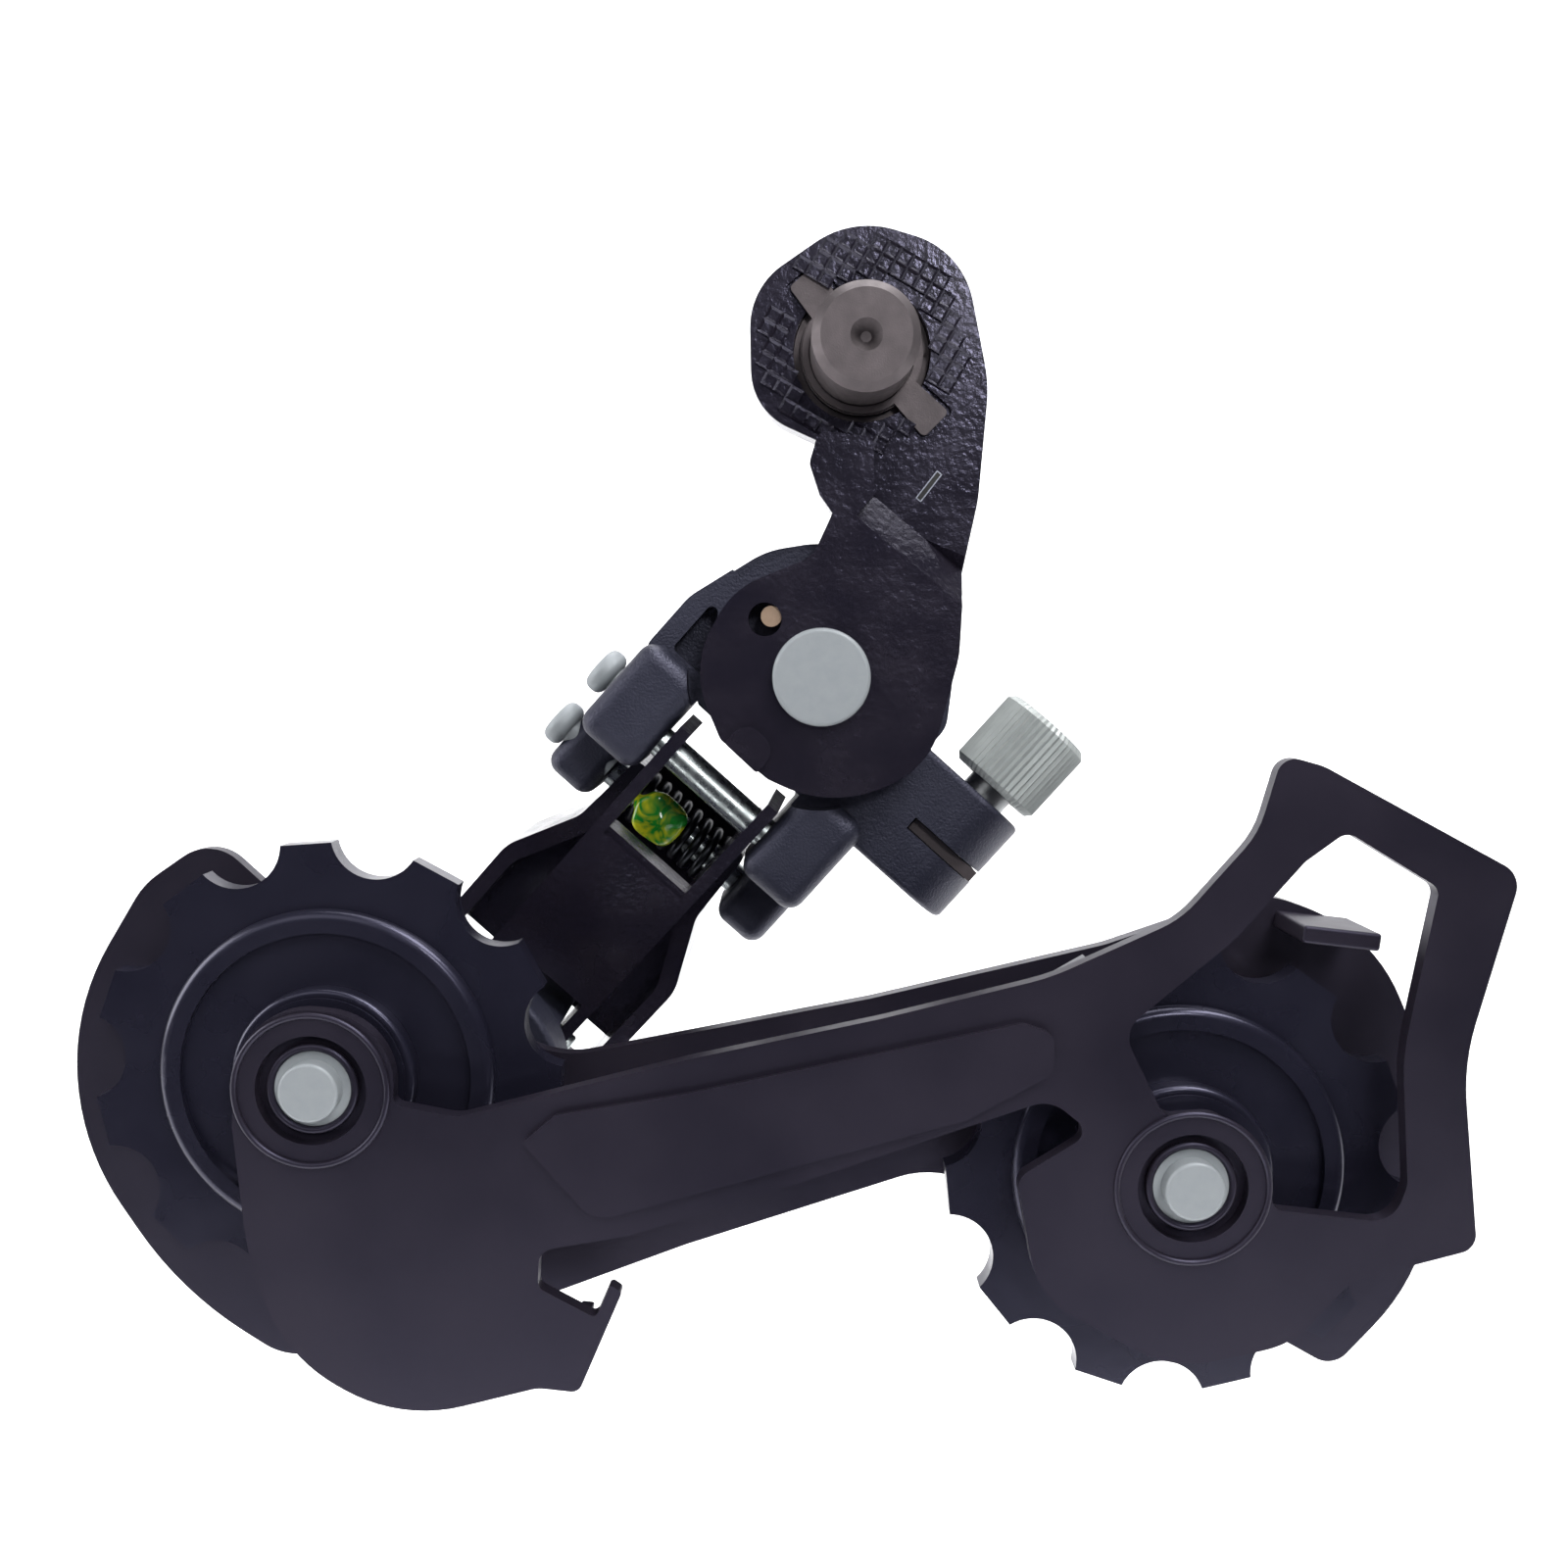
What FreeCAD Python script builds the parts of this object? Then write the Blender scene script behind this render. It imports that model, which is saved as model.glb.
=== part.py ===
import FreeCAD, Part
import math
import os
import re

os.makedirs("parts", exist_ok=True)
doc = FreeCAD.newDocument("rear_derailleur")
V = FreeCAD.Vector
Y_AXIS = V(0, 1, 0)

# Driving dimensions, in millimetres and degrees.
# Origin: hanger bolt axis on the mounting face. X rearward, Y outboard, Z up.
SIZES = {
    # mounting bracket
    "stud_rad": 5.0, "neck_step": 0.5, "hanger_thick": 7.2, "plate_thick": 3.5, "jog": 3.0, "eye_bore": 6.6,
    "pivot_x": -3.9, "pivot_z": -31.0, "pivot_disc_rad": 12.0, "axle_rad": 4.0, "rivet_rad": 4.7,
    "run_fit": 0.06, "face_gap": 0.3,
    # parallelogram, measured in a frame turned down to the left by link_turn
    "link_turn": 42, "pin_x": -14.6, "pin_z": -42.0, "pin_y": 1.5, "pin_rad": 1.6,
    "link_len": 32, "link_lean": 10, "pair_drop": 6.9, "pair_deep": 11,
    "inner_half": 6.3, "sheet": 1.3, "link_high": 3.5, "ear_in": 6.9, "ear_out": 14.2,
    "outer_top_half": 8.2, "outer_low_half": 12.0,
    # upper knuckle
    "knuckle_rad": 12.4, "knuckle_front": "=plate_thick - jog + face_gap", "knuckle_back": 19.5,
    "barrel_a": 21.4, "barrel_y": 6.0, "barrel_rad": 5.0, "barrel_len": 8.6, "housing_bore": 2.15,
    "stem_rad": 2.5, "boss_top": 17.3, "boss_rad": 5.45, "limit_rad": 2.4,
    # lower knuckle
    "cage_drop": 7.1,
    "cage_x": "=pin_x - (link_len * cos(link_lean * 1deg) + cage_drop) * sin(link_turn * 1deg)",
    "cage_z": "=pin_z - (link_len * cos(link_lean * 1deg) + cage_drop) * cos(link_turn * 1deg)",
    "low_front": -4.4, "low_back": 1.4, "low_rad": 11.4,
    "cage_axle_rad": 3.5, "cage_rivet_rad": 2.8,
    # pulley cage
    "cage_turn": 6.5, "guide_back": 8.66, "guide_up": 3.7,
    "guide_x": "=cage_x - guide_back", "guide_z": "=cage_z + guide_up", "pulley_gap": 78.3,
    "outer_face": -6.9, "inner_face": -16.2, "cage_sheet": 1.5,
    "dish": 1.2, "dish_rad": 6.2, "out_dish_rad": 5.2,
    "pulley_axle_rad": 2.65, "bush_rad": 4.0,
    # pulleys for a half inch chain
    "teeth": 11, "chain_pitch": 12.7, "tip_rad": 21.35, "seat_rad": 4.05, "tooth_thick": 2.2,
    "rim_rad": 15.3, "rim_thick": 4.0, "web_thick": 2.6, "web_rad": 13.2, "hub_rad": 8.3,
    "hub_thick": 5.8,
}
sheet = doc.addObject("Spreadsheet::Sheet", "Sizes")
for row, (word, amount) in enumerate(SIZES.items(), 1):
    sheet.set(f"A{row}", word)
    sheet.set(f"B{row}", str(amount))
    sheet.setAlias(f"B{row}", word)
doc.recompute()
names = {word: float(sheet.get(word)) for word in SIZES}


def size(rule):
    """Value of a rule written in sheet words."""
    if isinstance(rule, (int, float)):
        return float(rule)
    parts = re.split(r"([A-Za-z_]+)", rule)
    total = "".join(str(names[p]) if p in names else p for p in parts)
    return FreeCAD.Units.Quantity(f"({total})").Value


def bind(thing, prop, rule):
    """Ties one property to a rule in the sheet."""
    if isinstance(rule, (int, float)):
        rule = str(rule)
    thing.setExpression(prop, re.sub(r"([a-z_]+)", r"Sizes.\1", rule))


def box(tag, x0, x1, y0, y1, z0, z1, edge=0):
    """Block between three pairs of faces, its long edges eased when edge is set."""
    thing = doc.addObject("Part::Box", tag)
    for prop, low, high in (("Length", x0, x1), ("Width", y0, y1), ("Height", z0, z1)):
        bind(thing, prop, f"({high}) - ({low})")
    for axis, low in (("x", x0), ("y", y0), ("z", z0)):
        bind(thing, f"Placement.Base.{axis}", f"({low})")
    if not edge:
        return thing
    doc.recompute()
    soft = doc.addObject("Part::Fillet", tag + "_eased")
    soft.Base = thing
    soft.Edges = [(i + 1, edge, edge) for i in range(len(thing.Shape.Edges))]
    thing.Visibility = False
    return soft


def round_bar(tag, along, centre, start, end, rad, low_rad=None, edge=0):
    """Cylinder, or cone when low_rad is given, lying along X, Y or Z from start to end."""
    thing = doc.addObject("Part::Cone" if low_rad else "Part::Cylinder", tag)
    bind(thing, "Height", f"({end}) - ({start})")
    if low_rad:
        bind(thing, "Radius1", low_rad)
        bind(thing, "Radius2", rad)
    else:
        bind(thing, "Radius", rad)
    turn = {"X": (Y_AXIS, 90), "Y": (V(1, 0, 0), -90), "Z": (V(0, 0, 1), 0)}[along]
    thing.Placement.Rotation = FreeCAD.Rotation(*turn)
    spots = {"X": (start,) + tuple(centre), "Y": (centre[0], start, centre[1]),
             "Z": tuple(centre) + (start,)}[along]
    for axis, rule in zip("xyz", spots):
        bind(thing, f"Placement.Base.{axis}", f"({rule})")
    if not edge:
        return thing
    doc.recompute()
    soft = doc.addObject("Part::Fillet", tag + "_eased")
    soft.Base = thing
    soft.Edges = [(i + 1, edge, edge) for i, line in enumerate(thing.Shape.Edges) if line.Closed]
    return soft


def rounded(corners):
    """Lines and arcs round a closed run of (x, z, corner radius)."""
    spots = [(V(size(x), size(z), 0), r) for x, z, r in corners]
    ends = []
    shapes = []
    for i, (here, r) in enumerate(spots):
        back = (spots[i - 1][0] - here).normalize()
        ahead = (spots[(i + 1) % len(spots)][0] - here).normalize()
        if r == 0:
            ends.append((here, here))
            continue
        half = back.getAngle(ahead) / 2
        reach = r / math.tan(half)
        middle = here + (back + ahead).normalize() * (r / math.sin(half) - r)
        first, last = here + back * reach, here + ahead * reach
        shapes.append(Part.Arc(first, middle, last))
        ends.append((first, last))
    for i, (_, leave) in enumerate(ends):
        meet = ends[(i + 1) % len(ends)][0]
        if leave.distanceToPoint(meet) > 1e-4:
            shapes.append(Part.LineSegment(leave, meet))
    return shapes


def sheet_part(tag, y0, y1, outlines, circles=()):
    """Body padded from y0 to y1 from closed outlines and round holes drawn in X and Z."""
    body = doc.addObject("PartDesign::Body", tag + "_body")
    sketch = body.newObject("Sketcher::SketchObject", tag + "_outline")
    plane = next(f for f in body.Origin.OriginFeatures if f.Role == "XZ_Plane")
    sketch.AttachmentSupport = (plane, [""])
    sketch.MapMode = "FlatFace"
    for outline in outlines:
        for line in outline:
            sketch.addGeometry(line, False)
    for x, z, r in circles:
        sketch.addGeometry(Part.Circle(V(size(x), size(z), 0), V(0, 0, 1), size(r)), False)
    pad = body.newObject("PartDesign::Pad", tag + "_pad")
    pad.Profile = sketch
    pad.Reversed = True
    bind(pad, "Length", f"({y1}) - ({y0})")
    bind(body, "Placement.Base.y", f"({y0})")
    doc.recompute()
    if body.Shape.BoundBox.Center.y < size(y0):
        pad.Reversed = False
    return body


def fuse(tag, *pieces):
    joined = doc.addObject("Part::MultiFuse", tag)
    joined.Shapes = list(pieces)
    return joined


def cut(tag, base, *tools):
    """Base less the tools."""
    tool = tools[0] if len(tools) == 1 else fuse(tag + "_tools", *tools)
    result = doc.addObject("Part::Cut", tag)
    result.Base = base
    result.Tool = tool
    return result


NODES = []


def node(label, thing, frame=None):
    """Names a finished sub-part and sets it in its frame."""
    if frame is not None:
        doc.recompute()
        thing.Placement = frame.multiply(thing.Placement)
        for axis in "xyz":
            thing.setExpression(f"Placement.Base.{axis}", None)
    thing.Label = label
    NODES.append((label, thing))
    return thing


def coil(tag, middle, y0, y1, rad, wire, turns):
    """Round wire wound along Y, its ends left square."""
    rise = size(y1) - size(y0)
    line = Part.makeHelix(rise / turns, rise, size(rad))
    line.rotate(V(0, 0, 0), V(1, 0, 0), -90)
    start = line.Vertexes[0].Point
    ring = Part.Wire(Part.makeCircle(size(wire), start, V(0, 0, 1)))
    pipe = Part.Wire(line).makePipeShell([ring], True, True)
    pipe.translate(V(size(middle[0]), size(y0), size(middle[1])))
    thing = doc.addObject("Part::Feature", tag)
    thing.Shape = pipe
    return thing


LINK = FreeCAD.Placement(V(size("pin_x"), size("pin_y"), size("pin_z")),
                         FreeCAD.Rotation(Y_AXIS, size("link_turn")))
CAGE = FreeCAD.Placement(V(size("guide_x"), 0, size("guide_z")),
                         FreeCAD.Rotation(Y_AXIS, size("cage_turn")))
PIVOT = FreeCAD.Placement(V(size("pivot_x"), 0, size("pivot_z")), FreeCAD.Rotation())
LEAN = math.radians(size("link_lean"))
LOW_W = -size("link_len") * math.cos(LEAN)
LOW_Y = size("link_len") * math.sin(LEAN)
PAIR_W = -size("pair_drop")
PAIR_Y = size("pair_deep")

# ---- mounting bracket: pressed plate in two levels ----
eye = rounded([("pivot_x + 4.0", -16, 0), ("pivot_x + 0.0", -8.5, 1), (-10.6, -5.5, 6), (-10.8, 6, 7),
               (-1, 12.6, 9), (9.6, 9.5, 8), (12.2, -3, 14), (11.3, -14, 12), (9.7, -21.5, 0)])
upper = sheet_part("bracket_upper", 0, "plate_thick", [eye], [(0, 0, "eye_bore")])
low = rounded([(1, 15.5, 0), (-0.2, 17.2, 0), (-1.2, 20.2, 1.2), (-0.3, 23.2, 1), (4.9, 22.6, 0.8),
               (4.9, 17.6, 2), (13.6, 10.4, 0.8), (13.2, 2, 9), (10.6, -8, 8), (2, -13.2, 12),
               (-5.2, -9.8, 1.5), (-9.7, -6.0, 1.5), (-12.6, 1, 9), (-8.4, 8.4, 8),
               (-0.9, 11.4, 3)])
lower = sheet_part("bracket_lower", "-jog", "plate_thick - jog", [low],
                   [(0, 0, "axle_rad"), (-5.4, 5.5, 1.6)])
lower.Placement.Base.x = size("pivot_x")
lower.Placement.Base.z = size("pivot_z")
step = rounded([("pivot_x + 4.7", -15.2, 0), (9.9, -19.4, 0), (9.6, -23.2, 0), ("pivot_x + 3.4", -18.6, 0)])
joggle = sheet_part("bracket_step", "-jog", "plate_thick", [step])
half_punch = sheet_part("bracket_punch", "-jog - 0.6", "-jog + 0.1",
                        [rounded([(-13.2, -37.3, 0.3), (-10.1, -40.2, 0.3), (-8.1, -37.9, 1.7),
                                  (-11.2, -35.1, 1.7)])])
along = V(8.7, 0, -7.2).normalize()
rise = V(7.2, 0, 8.7).normalize() * 2.9 + Y_AXIS * size("jog")
slope_cut = doc.addObject("Part::Box", "bracket_slope")
slope_cut.Length = 16
slope_cut.Width = rise.Length
slope_cut.Height = 8
slope_cut.Placement = FreeCAD.Placement(V(1.2, 0, -13.55) - rise,
                                        FreeCAD.Rotation(along, rise, along.cross(rise), "XYZ"))
tab_seats = sheet_part("tab_seats", -1, 0.46,
                       [rounded([(-5.4, 2.6, 0), (-1.9, 5.6, 0), (-4.2, 8.8, 0.6), (-7.5, 6.0, 0.6)]),
                        rounded([(2.7, -5.4, 0), (5.5, -2.5, 0), (8.9, -5.5, 0.6), (6.0, -8.5, 0.6)])])
node("bracket_plate", cut("bracket_plate", fuse("bracket_all", upper, lower, joggle, half_punch),
                          tab_seats, slope_cut))

washer = sheet_part("washer_disc", "0.05", "0.45", [],
                    [(0, 0, "stud_rad + 0.75"), (0, 0, "stud_rad + 0.12")])
tabs = sheet_part("washer_tabs", "0.05", "0.45",
                  [rounded([(-4.65, 3.0, 0), (-2.3, 5.0, 0), (-4.3, 8.4, 0.5), (-7.0, 6.1, 0.5)]),
                   rounded([(3.0, -4.65, 0), (4.9, -2.5, 0), (8.4, -5.6, 0.5), (6.0, -8.0, 0.5)])])
node("stop_washer", fuse("stop_washer", washer, tabs))

# ---- hanger bolt ----
stud = round_bar("bolt_stud_plain", "Y", (0, 0), "-hanger_thick", 0, "stud_rad")
neck = round_bar("bolt_neck", "Y", (0, 0), -0.2, "plate_thick", "stud_rad - neck_step")
shoulder = round_bar("bolt_shoulder", "Y", (0, 0), 1.3, "plate_thick + 0.4", "eye_bore - run_fit")
stud_tip = round_bar("bolt_tip", "Y", (0, 0), "-hanger_thick - 0.8", "-hanger_thick", "stud_rad",
                     low_rad="stud_rad - 0.8")
flange = round_bar("bolt_head", "Y", (0, 0), "plate_thick + 0.05", "plate_thick + 3.4", 8.6, edge=0.7)
socket = sheet_part("bolt_socket", "plate_thick + 0.6", "plate_thick + 4",
                    [rounded([(2.9 * math.cos(math.radians(60 * k)),
                               2.9 * math.sin(math.radians(60 * k)), 0) for k in range(6)])])
drill = round_bar("bolt_centre", "Y", (0, 0), "-hanger_thick - 0.81", "-hanger_thick + 0.4", 0.5,
                  low_rad=1.5)
bolt_all = fuse("bolt_all", stud, neck, stud_tip, shoulder, flange)
node("hanger_bolt", cut("hanger_bolt", bolt_all, socket, drill))
ring = sheet_part("ring_disc", "0.5", "1.25",
                  [], [(0, 0, "stud_rad + 0.9"), (0, 0, "stud_rad - neck_step")])
node("bolt_ring", ring)

# ---- upper pivot axle, riveted in the bracket ----
shaft = round_bar("b_shaft", "Y", (0, 0), "-jog", "knuckle_back + 1.6", "axle_rad")
button = round_bar("b_button", "Y", (0, 0), "-jog - 1.0", "-jog", "rivet_rad", edge=0.4)
groove = sheet_part("b_groove", "knuckle_back + 0.3", "knuckle_back + 1.2", [],
                    [(0, 0, "axle_rad + 1"), (0, 0, "axle_rad - 0.8")])
node("b_axle", cut("b_axle", fuse("b_axle_all", shaft, button), groove), PIVOT)
clip = sheet_part("b_clip_disc", "knuckle_back + 0.35", "knuckle_back + 1.15",
                  [rounded([(-1.2, -7.2, 0.4), (-1.2, -3.3, 0), (1.2, -3.3, 0), (1.2, -7.2, 0.4),
                            (7.4, -6, 4), (7, 6.6, 5), (-7, 6.6, 5), (-7.4, -6, 4)])])
clip_hole = round_bar("b_clip_hole", "Y", (0, 0), "knuckle_back", "knuckle_back + 2",
                      "axle_rad - 0.78")
node("b_axle_clip", cut("b_axle_clip", clip, clip_hole), PIVOT)

# ---- upper knuckle, one moulding, drawn in the link frame ----
hub_a = (size("pivot_x") - size("pin_x")) * math.cos(math.radians(size("link_turn"))) \
    - (size("pivot_z") - size("pin_z")) * math.sin(math.radians(size("link_turn")))
hub_w = (size("pivot_x") - size("pin_x")) * math.sin(math.radians(size("link_turn"))) \
    + (size("pivot_z") - size("pin_z")) * math.cos(math.radians(size("link_turn")))
FRONT = "knuckle_front - pin_y"
BACK = "knuckle_back - pin_y"
hub = round_bar("knuckle_hub", "Y", (hub_a, hub_w), FRONT, BACK, "knuckle_rad", edge=0.8)
web = sheet_part("knuckle_web", FRONT, 13.4,
                 [rounded([(-14.2, 5.4, 1.5), (-14.2, 12.6, 5), (-11.7, 21, 9), (-7.5, 26.2, 7),
                           (8, 28, 8), (13.6, 20, 3), (13.6, 5.4, 1.5)])])
front_ears = [box(f"ear_front_{s}", f"{s} * ear_in" if s > 0 else "-ear_out",
                  "ear_out" if s > 0 else "-ear_in", -3.4, 6.2, -4.1, 7.2, 1.7) for s in (-1, 1)]
low_in = "outer_top_half + 0.6"
far_ears = [box(f"ear_far_{s}", low_in if s > 0 else "-ear_out - 0.4",
                "ear_out + 0.4" if s > 0 else "-outer_top_half - 0.6", 5.2,
                15.0, -10.4, 6.4, 1.6) for s in (-1, 1)]
boss_y = "barrel_y - pin_y + 0.25"
boss_block = box("boss_block", 11, "barrel_a - 0.5", f"{boss_y} - boss_rad", f"{boss_y} + boss_rad", 5.0,
                 "boss_top", 0.6)
boss_end = round_bar("boss_end", "Z", ("barrel_a - 0.5", boss_y), 5.0, "boss_top", "boss_rad", edge=0.6)
pocket = sheet_part("knuckle_pocket", "knuckle_front - pin_y - 1", 2.2,
                    [rounded([(-12.1, 15.0, 0.6), (-12.1, 7.6, 0.6), (-7.6, 7.6, 0.6)])])
link_slot = box("knuckle_slot", "-ear_in", "ear_in", -5, 7.2, -5, 5.2)
deep_slot = box("knuckle_deep_slot", f"-({low_in})", low_in, 6.4, 16, -11, 5.2)
pins_bore = [round_bar("bore_inner_pin", "X", (0, 0), "-ear_out - 1", "ear_out + 1", "pin_rad"),
             round_bar("bore_outer_pin", "X", (PAIR_Y, PAIR_W), "-ear_out - 2", "ear_out + 2",
                       "pin_rad")]
axle_bore = round_bar("bore_axle", "Y", (hub_a, hub_w), -4, 30, "axle_rad + run_fit")
spring_room = sheet_part("spring_room", 1.2, "knuckle_back - pin_y - 2.5", [],
                         [(hub_a, hub_w, 9.2), (hub_a, hub_w, 5.2)])
BARREL = ("barrel_a", "barrel_y - pin_y")
stem_bore = round_bar("bore_stem", "Z", BARREL, 3, 30, "stem_rad + run_fit")
nut_slot = box("nut_slot", "barrel_a - 4.4", "barrel_a + 8", -2, "barrel_y - pin_y + 4.3", 9.95,
               11.35)
LIMITS = [(3.9, 1.2), (6.9, -6.0)]
limit_bores = [round_bar(f"bore_limit_{i}", "X", (y, w), "-ear_out - 2", -3, 1.5)
               for i, (y, w) in enumerate(LIMITS)]
plate_room = round_bar("plate_room", "Y", (hub_a, hub_w), -6, FRONT, "pivot_disc_rad + 1.0")
swing_block = box("swing_block", -30, 30, -6, "plate_thick - pin_y + face_gap", hub_w + 2, 40)
swing_core = round_bar("swing_core", "Y", (hub_a, hub_w), -8, 10, "knuckle_rad")
swing_room = cut("swing_room", swing_block, swing_core)
solid = fuse("knuckle_solid", hub, web, boss_block, boss_end, *front_ears, *far_ears)
bodycut = cut("b_body", solid, pocket, link_slot, deep_slot, *pins_bore, axle_bore, spring_room,
              stem_bore, nut_slot, plate_room, swing_room, limit_bores[0], limit_bores[1])
node("b_body", bodycut, LINK)
node("b_spring", coil("b_spring", ("pivot_x", "pivot_z"), "knuckle_front + 3", 15.9, 7.2, 0.95, 5))

# ---- cable adjuster ----
knob = round_bar("knob", "Z", BARREL, "boss_top + 1.4", "boss_top + 1.4 + barrel_len", "barrel_rad",
                 edge=0.8)
knob_bore = round_bar("knob_bore", "Z", BARREL, "boss_top + 4.9", 40, "housing_bore")
thread_bore = round_bar("knob_thread_bore", "Z", BARREL, "boss_top", "boss_top + 5", "stem_rad")
node("barrel_knob", cut("barrel_knob", knob, knob_bore, thread_bore), LINK)
stem = round_bar("stem", "Z", BARREL, 5.6, "boss_top + 5", "stem_rad")
stem_hole = round_bar("stem_hole", "Z", BARREL, 5, 30, 0.9)
node("barrel_stem", cut("barrel_stem", stem, stem_hole), LINK)
nut = box("nut", "barrel_a - 4.1", "barrel_a + 4.1", "barrel_y - pin_y - 4.1",
          "barrel_y - pin_y + 4.1", 10.05, 11.25)
nut_bore = round_bar("nut_bore", "Z", BARREL, 9, 12, "stem_rad")
node("adjuster_nut", cut("adjuster_nut", nut, nut_bore), LINK)

# ---- limit screws ----
for label, (y, w) in zip(("limit_screw_high", "limit_screw_low"), LIMITS):
    head = round_bar(label + "_head", "X", (y, w), "-ear_out - 2.6", "-ear_out - 0.45",
                     "limit_rad", edge=0.9)
    shank = round_bar(label + "_shank", "X", (y, w), "-ear_out - 0.6", -9.0, 1.44)
    slot_a = box(label + "_slot_a", "-ear_out - 3", "-ear_out - 1.7", y - 0.25, y + 0.25, w - 1.5,
                 w + 1.5)
    slot_b = box(label + "_slot_b", "-ear_out - 3", "-ear_out - 1.7", y - 1.5, y + 1.5, w - 0.25,
                 w + 0.25)
    node(label, cut(label, fuse(label + "_all", head, shank), slot_a, slot_b), LINK)

# ---- link pins ----
PINS = {
    "pin_upper_inner": (0, 0, "-ear_out + 0.2", "ear_out - 0.2"),
    "pin_upper_outer": (PAIR_Y, PAIR_W, "-ear_out - 0.2", "ear_out + 0.2"),
    "pin_lower_inner": (LOW_Y, LOW_W, "-inner_half - 0.9", "inner_half + 0.9"),
    "pin_lower_outer": (LOW_Y + PAIR_Y, LOW_W + PAIR_W, "-outer_low_half - 0.9",
                        "outer_low_half + 0.9"),
}
for label, (y, w, start, end) in PINS.items():
    node(label, round_bar(label, "X", (y, w), start, end, "pin_rad", edge=0.25), LINK)

# ---- inner link: folded channel between the front pins ----
TILT = FreeCAD.Placement(V(0, 0, 0), FreeCAD.Rotation(V(1, 0, 0), size("link_lean")))
flank = [box(f"inner_flank_{s}", "-inner_half" if s < 0 else "inner_half - sheet",
             "-inner_half + sheet" if s < 0 else "inner_half", "-link_high", "link_high",
             "-link_len - 3.4", 3.4) for s in (-1, 1)]
face = box("inner_web", "-inner_half", "inner_half", "-link_high", "-link_high + sheet", -25.4, -10)
lip = box("inner_lip", "-inner_half", "inner_half", "-link_high + 0.6", "-link_high + 3.4", -10.4,
          -9.2)
link_bores = [round_bar(f"inner_bore_{i}", "X", (0, w), -9, 9, "pin_rad + run_fit")
              for i, w in enumerate((0, "-link_len"))]
node("inner_link", cut("inner_link", fuse("inner_all", *flank, face, lip), *link_bores),
     LINK.multiply(TILT))

# ---- outer link: wider shell behind, flared to the lower knuckle ----
OUTER = LINK.multiply(FreeCAD.Placement(V(0, PAIR_Y, PAIR_W), TILT.Rotation))
plan = rounded([(-7.6, 3.8, 1), ("-outer_top_half", -5, 4), ("-outer_low_half", -13, 5),
                ("-outer_low_half", "-link_len - 3.6", 2), ("outer_low_half", "-link_len - 3.6", 2),
                ("outer_low_half", -13, 5), ("outer_top_half", -5, 4), (7.6, 3.8, 1)])
shell = sheet_part("outer_shell", -3.6, 5.0, [plan])
inside = rounded([("-outer_top_half + 1.7", 5, 0), ("-outer_top_half + 1.7", -6, 3),
                  ("-outer_low_half + 1.7", -14, 4), ("-outer_low_half + 1.7", "-link_len - 5", 0),
                  ("outer_low_half - 1.7", "-link_len - 5", 0), ("outer_low_half - 1.7", -14, 4),
                  ("outer_top_half - 1.7", -6, 3), ("outer_top_half - 1.7", 5, 0)])
hollow = sheet_part("outer_hollow", -5, 3.5, [inside])
outer_bores = [round_bar(f"outer_bore_{i}", "X", (0, w), -20, 20,
                         "pin_rad + run_fit" if i == 0 else "pin_rad + 0.1")
               for i, w in enumerate((0, "-link_len"))]
low_relief = box("outer_low_relief", "-outer_low_half + 1.7", "outer_low_half - 1.7", 2, 7,
                 "-link_len - 5", "-link_len + 6.5")
clamp_bore = round_bar("clamp_bore", "Y", (0, -17), 0, 10, 2.5)
node("outer_link", cut("outer_link", shell, hollow, *outer_bores, low_relief, clamp_bore), OUTER)
clamp_bolt = fuse("clamp_bolt_all",
                  round_bar("clamp_shank", "Y", (0, -17), 1.8, 8.6, 2.45),
                  round_bar("clamp_head", "Y", (0, -17), 6.7, 9.8, 4.2, edge=0.5))
clamp_hex = sheet_part("clamp_hex", 7.6, 11,
                       [rounded([(2.0 * math.cos(math.radians(60 * k)),
                                  -17 + 2.0 * math.sin(math.radians(60 * k)), 0)
                                 for k in range(6)])])
node("cable_clamp_bolt", cut("cable_clamp_bolt", clamp_bolt, clamp_hex), OUTER)
washer_plate = box("clamp_plate", -5, 5, 5.0, 6.65, -21.6, -12.4, 0.4)
washer_hole = round_bar("clamp_plate_hole", "Y", (0, -17), 4, 7, 2.5)
cable_groove = round_bar("cable_groove", "Z", (3.4, 5.0), -25, -8, 0.6)
node("cable_clamp_plate", cut("cable_clamp_plate", washer_plate, washer_hole, cable_groove), OUTER)
node("return_spring", coil("return_spring", (0, 0), -5.9, 5.9, 2.6, 0.5, 8),
     LINK.multiply(FreeCAD.Placement(V(0, PAIR_Y, PAIR_W), FreeCAD.Rotation(V(0, 0, 1), -90))))

# ---- lower knuckle ----
dx = size("cage_x") - size("pin_x")
dz = size("cage_z") - size("pin_z")
turn = math.radians(size("link_turn"))
CA = round(dx * math.cos(turn) - dz * math.sin(turn), 6)
CW = round(dx * math.sin(turn) + dz * math.cos(turn), 6)
FACE = "low_front - pin_y"
drum = round_bar("low_drum", "Y", (CA, CW), FACE, "low_back - pin_y", "low_rad", edge=0.6)
neck = round_bar("low_neck", "Y", (CA, CW), 0, 10.4, 5.2)
tongue = box("low_tongue", "-inner_half + sheet + 0.35", "inner_half - sheet - 0.35", -0.5,
             LOW_Y + 6, CW - 2, LOW_W + 3.4, 0.3)
wide = box("low_wide", "-outer_low_half + 2.1", "outer_low_half - 2.1", LOW_Y + 5.2,
           LOW_Y + PAIR_Y + 3.4, CW - 4.5, LOW_W + PAIR_W + 3.2, 0.8)
low_bores = [round_bar("low_bore_in", "X", (LOW_Y, LOW_W), -15, 15, "pin_rad"),
             round_bar("low_bore_out", "X", (LOW_Y + PAIR_Y, LOW_W + PAIR_W), -20, 20, "pin_rad")]
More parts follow.
